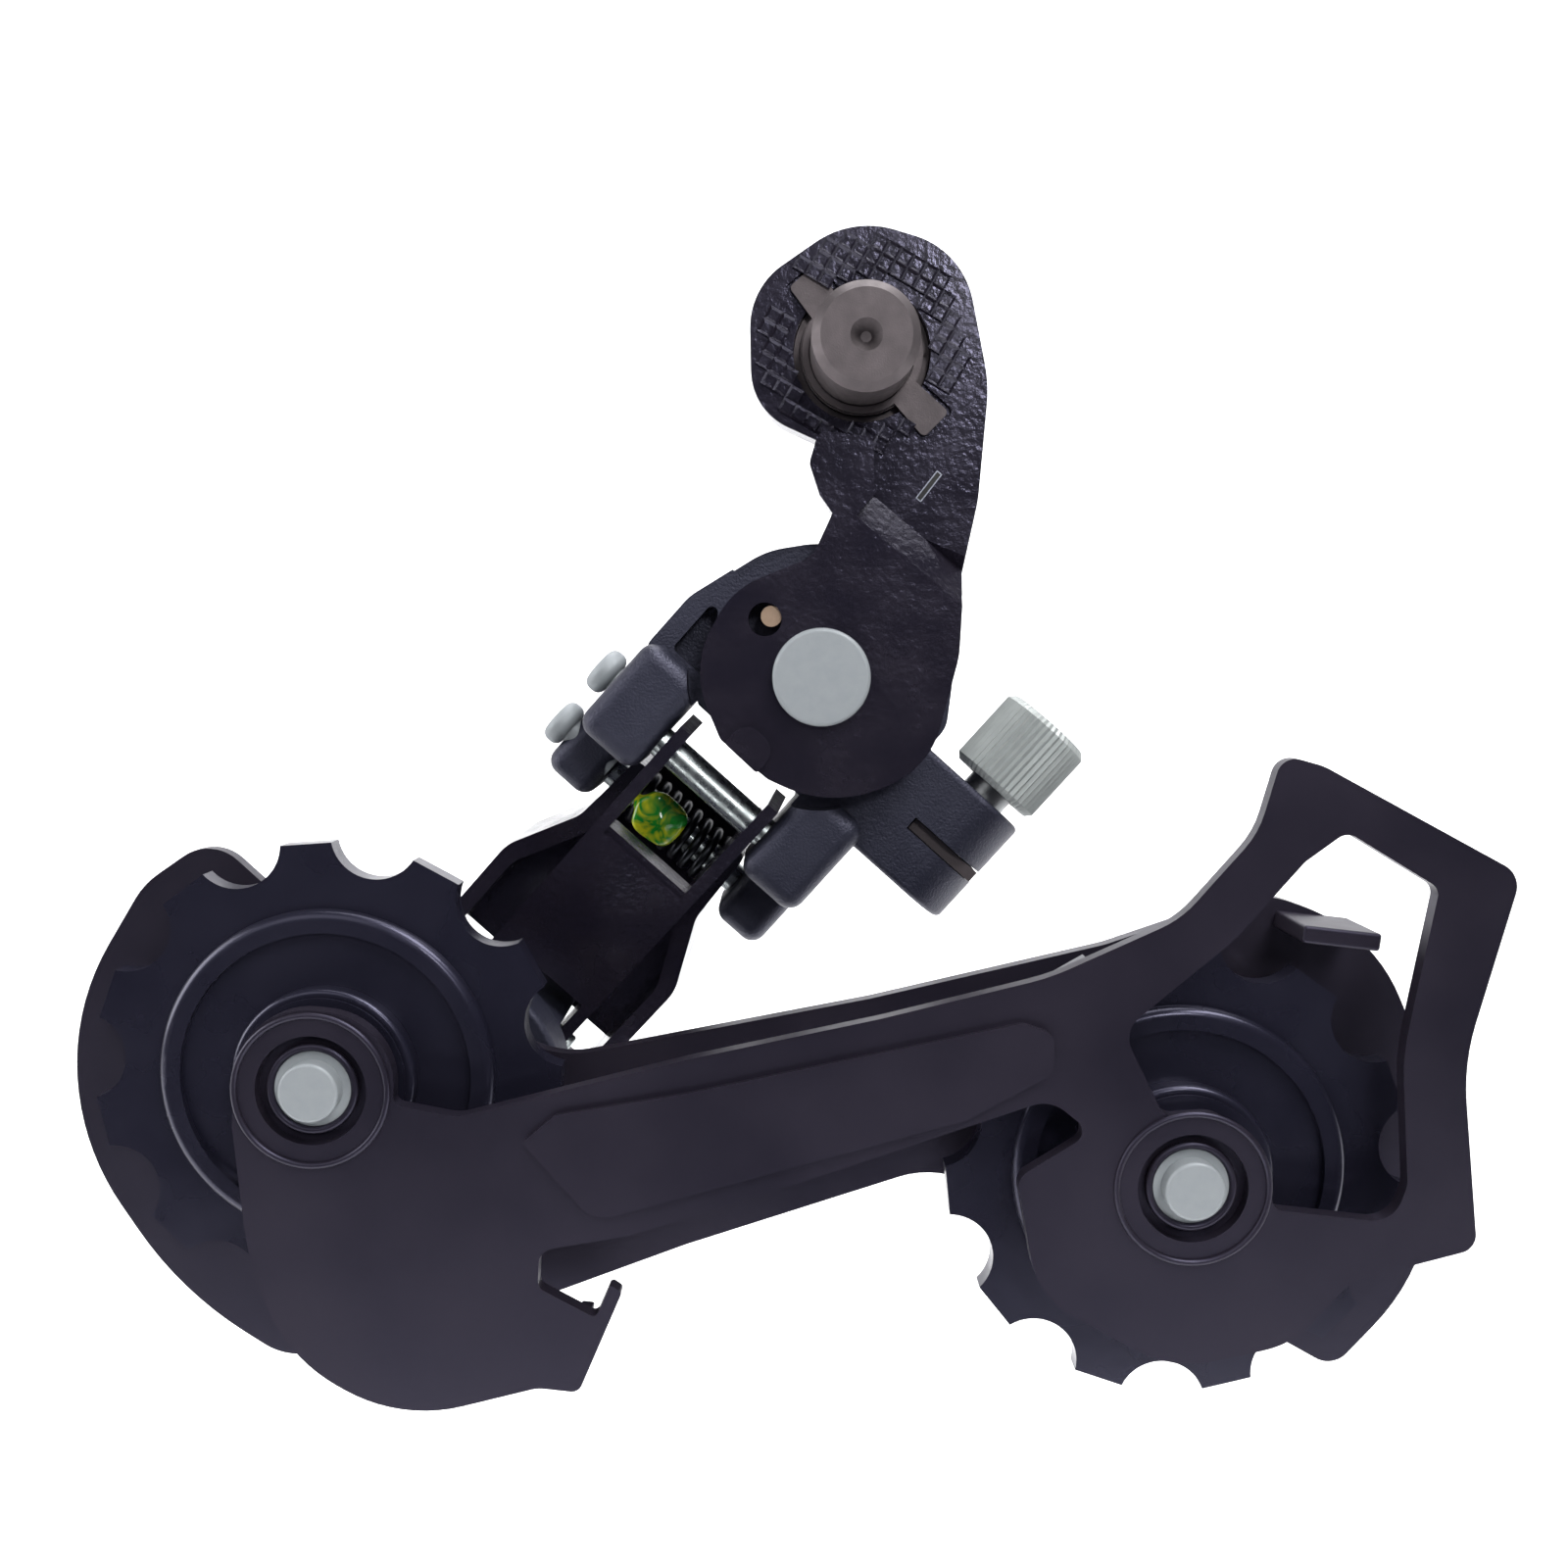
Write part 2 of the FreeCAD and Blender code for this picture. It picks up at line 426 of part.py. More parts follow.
low_axle_bore = round_bar("low_axle_bore", "Y", (CA, CW), -9, 11.3, "cage_axle_rad + run_fit")
low_room = sheet_part("low_room", "low_front - pin_y + 1.4", -0.5, [],
                      [(CA, CW, 9.6), (CA, CW, 5.0)])
node("p_body", cut("p_body", fuse("low_solid", drum, neck, tongue, wide), *low_bores,
                   low_axle_bore, low_room), LINK)
node("p_spring", coil("p_spring", ("cage_x", "cage_z"), "low_front + 2.2", 0.2, 7.3, 0.8, 1))

# ---- cage plates ----
axle_x = (size("cage_x") - size("guide_x"))
axle_z = (size("cage_z") - size("guide_z"))
ct = math.radians(size("cage_turn"))
AX = axle_x * math.cos(ct) - axle_z * math.sin(ct)
AZ = axle_x * math.sin(ct) + axle_z * math.cos(ct)


def far(x):
    """Place along the cage counted from the tension pulley."""
    return f"pulley_gap + {x}"


outer_line = rounded([
    (7, 9.5, 6), (-9, 15.5, 2), (-14.5, 19.6, 4), (-20.5, 14.4, 8), (-27, 0.5, 24),
    (-23.6, -13, 24), (-14, -25, 34), (-3.2, -30.6, 6), (21.5, -21.2, 4), (34, -14.8, 8),
    (far(-19), -3.2, 9), (far(-8), -14.2, 9), (far(14), -17.6, 2), (far(19.6), -20.0, 2.4),
    (far(27.4), -9, 20), (far(25.2), 9, 40), (far(17), 23, 16), (far(6), 25.6, 8),
    (far(-8), 18.9, 12), (far(-29.5), 11.2, 20), (19, 1.8, 9)])
outer_flat = sheet_part("outer_flat", "outer_face", "outer_face + cage_sheet", [outer_line],
                        [(AX, AZ, "cage_rivet_rad"), (9.5, -17.6, 1.7), (0, 0, "out_dish_rad - 0.4"),
                         ("pulley_gap", 0, "out_dish_rad - 0.4")])
inner_line = rounded([
    (-6.6, -4, 3), (-7.0, 7.2, 6.4), (7.0, 7.2, 6.4), (7.3, -0.4, 0.8), (13, -0.9, 4),
    (32.5, 6.5, 30), (far(-29.2), 12.1, 30), (far(-15), 17.4, 20), (far(-4.4), 23.8, 9),
    (far(1.2), 32.0, 8), (far(2.3), 39.0, 1.6), (far(6.0), 38.4, 5), (far(24.4), 31.0, 2.2),
    (far(22.0), 14, 20), (far(25.8), -2.6, 1.6), (far(15.2), -6.8, 4), (far(10.8), -13.2, 8),
    (far(0.5), -16.8, 10), (far(-12.4), -11.4, 8), (far(-15.6), -0.8, 1.6), (far(-9.6), 4.0, 1.2),
    (far(-13.6), 6.6, 3), (45.6, -2.5, 20), (29, -10, 4), (21.4, -12.2, 1.5),
    (21.6, -15.6, 1.0), (27.0, -17.8, 0.5), (28.0, -14.6, 0.3), (29.1, -15.2, 0.4),
    (26.2, -24.9, 1), (22.5, -24.9, 3), (10.6, -29.4, 14), (0.6, -24.9, 14), (-4.0, -17, 26)])
opening = rounded([
    (far(5.6), 30, 2), (far(8.8), 33.0, 1.4), (far(17.5), 29.0, 1.2), (far(16.6), 14, 20),
    (far(18.8), 2.4, 3), (far(18), -1.1, 2.6), (far(7.4), -1.1, 1), (far(5.6), 4.4, 2.5),
    (far(1.0), 7.0, 3), (far(-3.4), 6.1, 1.6), (far(-8.1), 13.4, 2.4), (far(0.4), 22.4, 10)])
inner_flat = sheet_part("inner_flat", "inner_face - cage_sheet", "inner_face", [inner_line, opening],
                        [(0, 0, "dish_rad - 0.4"), ("pulley_gap", 0, "dish_rad - 0.4")])


def dish(tag, x, y_flat, toward, rad):
    """Shallow pressed cup round a pulley axle; toward is +1 or -1 along Y."""
    sheet_y = size("cage_sheet")
    deep = size("dish") * toward
    base = size(y_flat) if isinstance(y_flat, str) else y_flat
    rim = round_bar(tag + "_rim", "Y", (x, 0), base + min(deep, 0), base + sheet_y + max(deep, 0),
                    rad)
    well_start = base - 0.1 if toward > 0 else base + sheet_y + 0.1 + deep
    well_end = base + deep if toward > 0 else base + sheet_y + 0.1
    if toward < 0:
        well_start = base + sheet_y + deep
    well = round_bar(tag + "_well", "Y", (x, 0), well_start, well_end, f"{rad} - 1.3")
    hole = round_bar(tag + "_hole", "Y", (x, 0), base - 4, base + sheet_y + 4,
                     "pulley_axle_rad")
    return cut(tag, rim, well, hole)


rib = sheet_part("inner_rib", "inner_face - cage_sheet - 0.5", "inner_face - cage_sheet + 0.2",
                 [rounded([(19, -2.4, 0.5), (21.6, 0.4, 1), (32.8, 3.6, 30), (61.4, 13.2, 1.6),
                           (64.2, 12.6, 1.4), (64.6, 9.0, 2), (57.5, 4.0, 4), (45.2, -1.0, 20),
                           (26, -8.8, 3)])])
guard = box("inner_guard", 25.2, 26.4, "inner_face - 0.2", "inner_face + 3.4", -24.0, -18.6, 0.2)
cups = [dish(f"inner_dish_{i}", x, "inner_face - cage_sheet", 1, "dish_rad")
        for i, x in enumerate((0, "pulley_gap"))]
node("cage_inner_plate", fuse("cage_inner_plate", inner_flat, rib, guard, *cups), CAGE)
outer_cups = [dish(f"outer_dish_{i}", x, "outer_face", -1, "out_dish_rad")
              for i, x in enumerate((0, "pulley_gap"))]
catch = box("chain_catch", far(7.6), far(14.6), "inner_face + 1.6", "outer_face + 0.4", 22.4, 24.0,
            0.3)
node("cage_outer_plate", fuse("cage_outer_plate", outer_flat, *outer_cups, catch), CAGE)
pin_shaft = round_bar("cage_stop_pin", "Y", (9.5, -17.6), "outer_face", "outer_face + cage_sheet + 5.5",
                      1.7, edge=0.3)
node("cage_stop_pin", pin_shaft, CAGE)

p_shaft = round_bar("p_shaft", "Y", ("cage_x", "cage_z"), "outer_face + cage_sheet", 12.1,
                    "cage_axle_rad")
p_rivet = round_bar("p_rivet", "Y", ("cage_x", "cage_z"), "outer_face", "outer_face + cage_sheet",
                    "cage_rivet_rad")
p_collar = round_bar("p_collar", "Y", ("cage_x", "cage_z"), "outer_face + cage_sheet",
                     "low_front - 0.3", 4.6)
node("p_axle", fuse("p_axle", p_shaft, p_rivet, p_collar))

# ---- pulleys ----
pitch_rad = size("chain_pitch") / 2 / math.sin(math.pi / size("teeth"))


def toothed(tag):
    """Toothed disc: roller seats between flat topped teeth."""
    tip = size("tip_rad")
    seat = size("seat_rad")
    spread = math.acos((pitch_rad ** 2 + tip ** 2 - seat ** 2) / (2 * pitch_rad * tip))
    lines = []
    count = int(size("teeth"))
    step_turn = 2 * math.pi / count

    def at(radius, angle):
        return V(radius * math.cos(angle), radius * math.sin(angle), 0)

    for k in range(count):
        gap = k * step_turn
        lines.append(Part.Arc(at(tip, gap - spread), at(pitch_rad - seat, gap), at(tip, gap + spread)))
        lines.append(Part.LineSegment(at(tip, gap + spread), at(tip, gap + step_turn - spread)))
    return sheet_part(tag, "-tooth_thick / 2", "tooth_thick / 2", [lines])


MIDDLE = (size("outer_face") + size("inner_face")) / 2
for label, turn_by, x in (("guide_pulley", -79.6, 0), ("tension_pulley", -20.6, size("pulley_gap"))):
    wheel = toothed(label + "_teeth")
    rim = round_bar(label + "_rim", "Y", (0, 0), "-rim_thick / 2", "rim_thick / 2", "rim_rad", edge=0.9)
    recess = [sheet_part(f"{label}_web_{s}", "web_thick / 2" if s > 0 else "-web_thick / 2 - 2",
                         "web_thick / 2 + 2" if s > 0 else "-web_thick / 2", [],
                         [(0, 0, "web_rad"), (0, 0, "hub_rad")]) for s in (-1, 1)]
    hub = round_bar(label + "_hub", "Y", (0, 0), "-hub_thick / 2", "hub_thick / 2", "hub_rad", edge=0.5)
    bore = round_bar(label + "_bore", "Y", (0, 0), -5, 5, "bush_rad + run_fit")
    spot = CAGE.multiply(FreeCAD.Placement(V(x, MIDDLE, 0), FreeCAD.Rotation(Y_AXIS, -turn_by)))
    node(label, cut(label, fuse(label + "_all", wheel, rim, hub), *recess, bore), spot)

IN_CUP = "inner_face + dish"
OUT_CUP = "outer_face - dish"
for end, x in (("guide", "0"), ("tension", "pulley_gap")):
    sleeve = round_bar(end + "_sleeve", "Y", (x, 0), IN_CUP, OUT_CUP, "bush_rad")
    sleeve_bore = round_bar(end + "_sleeve_bore", "Y", (x, 0), -20, 0, "pulley_axle_rad")
    node(end + "_bush", cut(end + "_bush", sleeve, sleeve_bore), CAGE)
    pin = round_bar(end + "_pin", "Y", (x, 0), "inner_face - cage_sheet - 0.9",
                    "outer_face + cage_sheet - 0.3", "pulley_axle_rad", edge=0.3)
    collar = round_bar(end + "_collar", "Y", (x, 0), "inner_face - cage_sheet + dish - 0.5",
                       "inner_face - cage_sheet + dish", 3.7)
    node(end + "_axle", fuse(end + "_axle", pin, collar), CAGE)
    for side, low_y, high_y in (("in", f"{IN_CUP} + 0.03", f"{IN_CUP} + 0.3"),
                                ("out", f"{OUT_CUP} - 0.3", f"{OUT_CUP} - 0.03")):
        cap = round_bar(f"{end}_cap_{side}", "Y", (x, 0), low_y, high_y, 7.6)
        cap_hole = round_bar(f"{end}_cap_hole_{side}", "Y", (x, 0), -20, 0, "bush_rad + 0.02")
        node(f"{end}_dust_cap_{side}", cut(f"{end}_dust_cap_{side}", cap, cap_hole), CAGE)

doc.recompute()
for thing in doc.Objects:
    if "Invalid" in thing.State or "Error" in thing.State:
        raise RuntimeError(f"{thing.Name} {thing.Label} failed: {thing.State}")
for label, thing in NODES:
    shape = thing.Shape
    if shape.isNull() or not shape.isValid() or not shape.Solids:
        raise RuntimeError(f"{label}: no valid solid")
    print(label, len(shape.Solids), round(shape.Volume, 1))
    shape.exportStep(f"parts/{label}.step")
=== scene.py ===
# %% [markdown]
# A rear bicycle derailleur, seen from the wheel side. This lesson adds what drawings leave out:
# knurling, grease, stamped marks and the way each finish takes the light.

# %% Load the frame
import bpy
import math
from mathutils import Matrix, Vector


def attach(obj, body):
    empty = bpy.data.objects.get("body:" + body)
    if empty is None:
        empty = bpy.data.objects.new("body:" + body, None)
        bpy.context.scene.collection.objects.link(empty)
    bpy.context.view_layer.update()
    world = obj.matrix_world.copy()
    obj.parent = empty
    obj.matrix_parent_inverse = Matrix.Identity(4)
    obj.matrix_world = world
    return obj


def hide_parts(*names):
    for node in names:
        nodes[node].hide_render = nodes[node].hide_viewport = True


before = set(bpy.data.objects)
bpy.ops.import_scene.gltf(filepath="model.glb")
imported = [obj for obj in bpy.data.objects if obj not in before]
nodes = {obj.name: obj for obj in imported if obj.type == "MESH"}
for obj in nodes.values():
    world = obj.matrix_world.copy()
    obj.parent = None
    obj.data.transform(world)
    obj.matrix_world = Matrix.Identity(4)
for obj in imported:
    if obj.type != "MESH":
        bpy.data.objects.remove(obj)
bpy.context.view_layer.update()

MM = 0.001

# %% [markdown]
# Finishes are written in the hex values that a paint chart gives. Blender mixes light in linear
# numbers, so one function turns one into the other, and one small function adds a shader node.

# %% Colour and node helpers
def colour(text):
    """Linear colour from an sRGB hex value."""
    parts = [int(text[i:i + 2], 16) / 255 for i in (1, 3, 5)]
    return [((c + 0.055) / 1.055) ** 2.4 if c > 0.04045 else c / 12.92 for c in parts] + [1.0]


def add(tree, kind, settings=(), links=()):
    """Adds one node. A setting with a dot is a socket's value; a link is (socket, output)."""
    made = tree.nodes.new(kind)
    for name, value in dict(settings).items():
        if name.startswith("."):
            made.inputs[name[1:]].default_value = value
        else:
            setattr(made, name, value)
    for name, output in dict(links).items():
        tree.links.new(output, made.inputs[name])
    return made


print("linear value of a mid grey:", round(colour("#808080")[0], 3))

# %% [markdown]
# All the finishes here share one recipe. Two near colours lie in soft blotches a few millimetres
# wide, the gloss is a little uneven in the same blotches, and a fine grain is only a bump. Their
# scales are real millimetres, so the recipe suits a dip coat, a moulding and a metal alike.

# %% The recipe of a finish
MIX_FIRST, MIX_SECOND, MIX_RESULT = 6, 7, 2   # colour sockets of a Mix node set to RGBA
BLOTCH_LOW, BLOTCH_HIGH = 0.35, 0.65          # most noise values lie between these two
COAT_ROUGH = 0.18


def finish(name, base, second, metallic, rough, rough_span, blotch_mm, grain_mm, grain_depth,
           stretch=(1, 1, 1), coat=0.0, specular=0.5, tint="#FFFFFF"):
    """A finish: two near colours in soft blotches, uneven gloss, and a fine surface grain."""
    made = bpy.data.materials.new(name)
    made.use_nodes = True
    tree = made.node_tree
    shader = tree.nodes["Principled BSDF"]
    coords = add(tree, "ShaderNodeTexCoord")
    where = add(tree, "ShaderNodeMapping", {".Scale": stretch},
                {"Vector": coords.outputs["Object"]})
    blotch = add(tree, "ShaderNodeTexNoise", {".Scale": 1 / (blotch_mm * MM), ".Detail": 4.0},
                 {"Vector": where.outputs["Vector"]})
    gloss = add(tree, "ShaderNodeMapRange", {".From Min": BLOTCH_LOW, ".From Max": BLOTCH_HIGH,
                                             ".To Min": rough, ".To Max": rough + rough_span},
                {"Value": blotch.outputs["Fac"]})
    blend = add(tree, "ShaderNodeMix", {"data_type": "RGBA"}, {"Factor": blotch.outputs["Fac"]})
    blend.inputs[MIX_FIRST].default_value = colour(base)
    blend.inputs[MIX_SECOND].default_value = colour(second)
    grain = add(tree, "ShaderNodeTexNoise", {".Scale": 1 / (grain_mm * MM), ".Detail": 3.0},
                {"Vector": where.outputs["Vector"]})
    bump = add(tree, "ShaderNodeBump", {".Strength": 1.0, ".Distance": grain_depth * MM},
               {"Height": grain.outputs["Fac"]})
    tree.links.new(blend.outputs[MIX_RESULT], shader.inputs["Base Color"])
    tree.links.new(gloss.outputs["Result"], shader.inputs["Roughness"])
    tree.links.new(bump.outputs["Normal"], shader.inputs["Normal"])
    shader.inputs["Metallic"].default_value = metallic
    shader.inputs["Specular IOR Level"].default_value = specular
    shader.inputs["Specular Tint"].default_value = colour(tint)
    shader.inputs["Coat Weight"].default_value = coat
    shader.inputs["Coat Roughness"].default_value = COAT_ROUGH
    print("finish:", name)
    return made


print("a finish blends its colours between noise", BLOTCH_LOW, "and", BLOTCH_HIGH)

# %% [markdown]
# Pressed steel sheet gets a thin black coat by dipping it in charged paint. The coat is smooth and
# half glossy with a slow orange peel, so long soft highlights run along every bend. Moulded nylon
# is filled with glass and copies the spark-eroded mould: a fine satin grain that sparkles a little.

# %% Black finishes
# Satin black with a violet cast and slow brown blotches, as a dip coat has on flat pressed sheet.
plate_coat = finish("electrocoated_sheet_satin_black", "#14131C", "#1C171C", 0.0, 0.34, 0.12,
                    16.0, 0.7, 0.008, coat=0.05, specular=0.42, tint="#D8D4FF")
# The same coat where it ran thicker over the forged bends: nearly wet, so its peel glints.
bracket_coat = finish("electrocoated_bracket_gloss_black", "#14131D", "#1D191F", 0.0, 0.15, 0.14,
                      5.0, 0.75, 0.080, coat=0.25, specular=0.45, tint="#DDDAFF")
# Fine satin sparkle of short glass fibres under the skin of a dark moulding.
nylon = finish("glass_filled_nylon_black", "#1B1C27", "#24252F", 0.0, 0.40, 0.12, 4.0, 0.24, 0.075,
               specular=0.5, tint="#E2E2FF")
# Smooth oily-looking black that mirrors a lamp along each moulded step.
acetal = finish("moulded_acetal_black", "#13131D", "#191822", 0.0, 0.22, 0.12, 12.0, 1.6, 0.012,
                coat=0.12, specular=0.45, tint="#D8D6FF")
# Painted shade: a near-black colour that stands in for the shade at the bottom of a stamped groove.
shadow_mark = finish("stamped_groove_painted_shade_black", "#060607", "#0A0A0B", 0.0, 0.30, 0.1, 2.0, 0.3, 0.01)

# %% [markdown]
# Bright zinc, dark phosphate and oiled wire are bare metals: colour and roughness set them apart.
# A hammered rivet end and a worn crest of the knurl are duller, part metal and part oxide; the
# crest's pale grey also carries a painted highlight.
# The adjuster's knob is a pale moulding.

# %% Metals and the pale knob
# Passivated zinc plate, pale and slightly cloudy.
zinc = finish("bright_zinc_steel", "#C9CCCC", "#AEB3B3", 1.0, 0.36, 0.14, 1.6, 0.12, 0.006)
# A hammered rivet end: flat mid grey without any mirror.
riveted = finish("riveted_steel_end_grey", "#8E9396", "#84898D", 0.25, 0.52, 0.10, 1.2, 0.10, 0.010)
# Drawn rod under zinc, its fine lines running round the pin.
rod_zinc = finish("drawn_rod_zinc", "#BFC6C6", "#8F9696", 1.0, 0.22, 0.16, 1.0, 0.15, 0.006,
                  stretch=(1, 3, 1))
# Brown-grey phosphate, dull like pencil lead with a warm cast.
phosphate = finish("phosphated_steel_dark", "#5C5557", "#4A4547", 0.70, 0.44, 0.14, 2.0, 0.16,
                   0.014)
# Bare oiled wire with soft glints.
spring_wire = finish("oiled_spring_wire", "#34363A", "#26272B", 1.0, 0.28, 0.12, 1.5, 0.2, 0.006)
# The sheared end of a spring leg, coppery and rough.
copper_wire = finish("cut_spring_end", "#B59C86", "#8E7A69", 0.8, 0.38, 0.12, 0.9, 0.1, 0.01)
# Pale grey moulding, matt and slightly dusty.
grey_knob = finish("grey_moulded_nylon", "#A4A9A8", "#8C9190", 0.15, 0.40, 0.10, 2.0, 0.2, 0.02)
# Lathe-turned steel, mid grey and clean.
turned = finish("turned_steel", "#8B8D8E", "#6E7072", 1.0, 0.30, 0.1, 1.2, 0.12, 0.006)
# Pale grey for the knurl's crests, where the coat is rubbed thin and a painted highlight is added,
# and for the stamped figure's rim, where it is only a painted highlight.
crest_wear_and_painted_highlight = finish("knurl_crest_wear_and_painted_highlight_grey", "#B4B8C4", "#777A87", 0.35, 0.26, 0.16, 2.2, 0.3, 0.02,
                    tint="#E6E6FF")

# %% [markdown]
# The CAD nodes keep their shape and take their finish here. Each node's material slots are
# emptied and one finish is put in, which is all that a part of one material needs.

# %% Finish the CAD nodes
FINISHES = {
    plate_coat: ["cage_inner_plate", "cage_outer_plate"],
    bracket_coat: ["bracket_plate", "inner_link", "outer_link"],
    nylon: ["b_body", "p_body"],
    acetal: ["guide_pulley", "tension_pulley", "guide_dust_cap_in", "guide_dust_cap_out",
             "tension_dust_cap_in", "tension_dust_cap_out"],
    riveted: ["b_axle", "guide_axle", "tension_axle", "limit_screw_high", "limit_screw_low"],
    zinc: ["cage_stop_pin", "p_axle", "cable_clamp_bolt", "cable_clamp_plate"],
    rod_zinc: ["pin_upper_inner", "pin_upper_outer", "pin_lower_inner", "pin_lower_outer"],
    phosphate: ["hanger_bolt", "bolt_ring", "stop_washer", "adjuster_nut"],
    spring_wire: ["b_spring", "p_spring", "return_spring", "b_axle_clip"],
    turned: ["barrel_stem", "guide_bush", "tension_bush"],
    grey_knob: ["barrel_knob"],
}
for material, names in FINISHES.items():
    for name in names:
        slots = nodes[name].data.materials
        slots.clear()
        slots.append(material)
print("nodes painted:", sum(len(n) for n in FINISHES.values()), "of", len(nodes))

# %% [markdown]
# No sheared or moulded edge is truly sharp. A narrow bevel on every edge that turns by more than
# 50 degrees catches the light as a thin bright line, which is how black parts are read at all.
# The widths are in millimetres. Moulded edges and thick sheet are rounder than thin sheet.

# %% Break the sharp edges
SHARP_TURN = 50
EDGE_BREAK = {"bracket_plate": 0.35, "cage_inner_plate": 0.22, "cage_outer_plate": 0.22,
              "inner_link": 0.2, "outer_link": 0.3, "guide_pulley": 0.18, "tension_pulley": 0.18,
              "b_body": 0.2, "p_body": 0.2, "stop_washer": 0.08}
for name, wide in EDGE_BREAK.items():
    bevel = nodes[name].modifiers.new("edge_break", "BEVEL")
    bevel.width = wide * MM
    bevel.segments = 2
    bevel.limit_method = "ANGLE"
    bevel.angle_limit = math.radians(SHARP_TURN)
    bevel.harden_normals = True
print("edges broken on", len(EDGE_BREAK), "nodes")

# %% [markdown]
# New pieces start from a primitive or a text and are mostly shaped in edit mode. These helpers
# start with nothing selected, pick faces by a test on their place and normal, and leave the
# finished piece with its place in its mesh, as the CAD nodes have.

# %% Modelling helpers
def clear_pick():
    """Object mode with nothing selected."""
    if bpy.context.object and bpy.context.object.mode != "OBJECT":
        bpy.ops.object.mode_set(mode="OBJECT")
    bpy.ops.object.select_all(action="DESELECT")


def pick_faces(test):
    """Selects the active mesh's faces that pass a test of centre and normal."""
    bpy.ops.object.mode_set(mode="EDIT")
    bpy.ops.mesh.select_mode(type="FACE")
    bpy.ops.mesh.select_all(action="DESELECT")
    bpy.ops.object.mode_set(mode="OBJECT")
    mesh = bpy.context.object.data
    for face in mesh.polygons:
        face.select = bool(test(face.center, face.normal))
    bpy.ops.object.mode_set(mode="EDIT")


def settle(name, body, material, place=None, smooth=30):
    """Names the active piece, moves its place into its mesh and rides it on a body."""
    clear_pick()
    piece = bpy.context.object
    piece.select_set(True)
    if place is not None:
        piece.matrix_world = place @ piece.matrix_world
    bpy.context.view_layer.update()
    bpy.ops.object.transform_apply(location=True, rotation=True, scale=True)
    if smooth:
        bpy.ops.object.shade_smooth_by_angle(angle=math.radians(smooth))
    piece.name = piece.data.name = name
    piece.data.materials.clear()
    piece.data.materials.append(material)
    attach(piece, body)
    print("made", name, len(piece.data.polygons), "faces")
    return piece


def lie_along(direction, at):
    """Matrix that takes local Z to a direction and the origin to a point."""
    turn = Vector(direction).to_track_quat("Z", "Y").to_matrix().to_4x4()
    return Matrix.Translation(Vector(at)) @ turn


# %% [markdown]
# The links lean by 42 degrees at rest, and the knob and the grease sit square to them. So their
# places are given in the links' own frame: along the link pins' row, across, and up the links.

# %% The frame of the links
LINK_TURN = math.radians(42)
PIN = Vector((math.cos(LINK_TURN), 0, -math.sin(LINK_TURN)))
UP = Vector((math.sin(LINK_TURN), 0, math.cos(LINK_TURN)))
LINK_ORIGIN = Vector((-14.6, 1.5, -42.0)) * MM


def in_link(a, y, w):
    """Point given in millimetres in the frame of the links."""
    return LINK_ORIGIN + (PIN * a + Vector((0, y, 0)) + UP * w) * MM


print("links' origin, mm:", [round(v / MM, 1) for v in LINK_ORIGIN])

# %% [markdown]
# The face that bites into the frame's hanger is pressed with a waffle of small square pits. A grid
# is laid over the eye, turned to the press direction, trimmed to the plate, and each cell is inset
# and sunk, which is just what the press does.

# %% Knurled mounting face
clear_pick()
CELL = 1.36            # one pit and one wall, mm
COUNT = 18
PRESS_TURN = 30        # degrees, the way the waffle lies on the eye
EYE_CENTRE = (0.1, 0.7)
RIM_RADIUS = 9.75      # where the plate's rounded rim begins, mm
WASHER_RADIUS = 7.2    # bare ring under the stop washer, mm
TAB_HALF, TAB_REACH = 2.2, 9.9
PRESS_SKIN = 0.26      # thickness of the pressed skin, mm
WALL_HALF = 0.24
PIT_DEPTH = 0.22
PIT_SLOPE = 0.10
bpy.ops.mesh.primitive_grid_add(x_subdivisions=COUNT, y_subdivisions=COUNT, size=CELL * COUNT * MM)
grid = bpy.context.object
grid.matrix_world = (Matrix.Translation((0.0002, -0.0003, 0.0008))
                     @ Matrix.Rotation(math.radians(PRESS_TURN), 4, "Y")
                     @ Matrix.Rotation(math.radians(90), 4, "X"))
bpy.context.view_layer.update()
clear_pick()
grid.select_set(True)
bpy.ops.object.transform_apply(location=True, rotation=True, scale=True)


def off_eye(centre, normal):
    """True outside the waffle: past the plate's rim, in the bore, or down the arm."""
    x, z = centre.x / MM, centre.z / MM
    reach = math.hypot(x, z)
    rim = math.hypot(x - EYE_CENTRE[0], z - EYE_CENTRE[1])
    tab = abs(x * 0.655 + z * 0.755) < TAB_HALF and reach < TAB_REACH
    arm = (x - 10.5) * 0.729 - (z + 1.5) * 0.684 > -0.6
    return rim > RIM_RADIUS or reach < WASHER_RADIUS or arm or tab


pick_faces(off_eye)
bpy.ops.mesh.delete(type="FACE")
bpy.ops.mesh.select_all(action="SELECT")
bpy.ops.mesh.extrude_region_move(TRANSFORM_OT_translate={"value": (0, PRESS_SKIN * MM, 0)})
bpy.ops.mesh.select_all(action="SELECT")
bpy.ops.mesh.normals_make_consistent(inside=False)
pick_faces(lambda c, n: n.y < -0.9)
bpy.ops.mesh.inset(thickness=WALL_HALF * MM, use_individual=True)
bpy.ops.transform.translate(value=(0, PIT_DEPTH * MM, 0))
bpy.ops.mesh.inset(thickness=PIT_SLOPE * MM, use_individual=True)
knurl = settle("knurled_face", "bracket", bracket_coat, smooth=0)
# The crests facing out from the face take the pale finish: coat rubbed thin there, plus a painted
# highlight.
knurl.data.materials.append(crest_wear_and_painted_highlight)
for face in knurl.data.polygons:
    face.material_index = 1 if face.normal.y < -0.9 and face.center.y < -0.0002 else 0
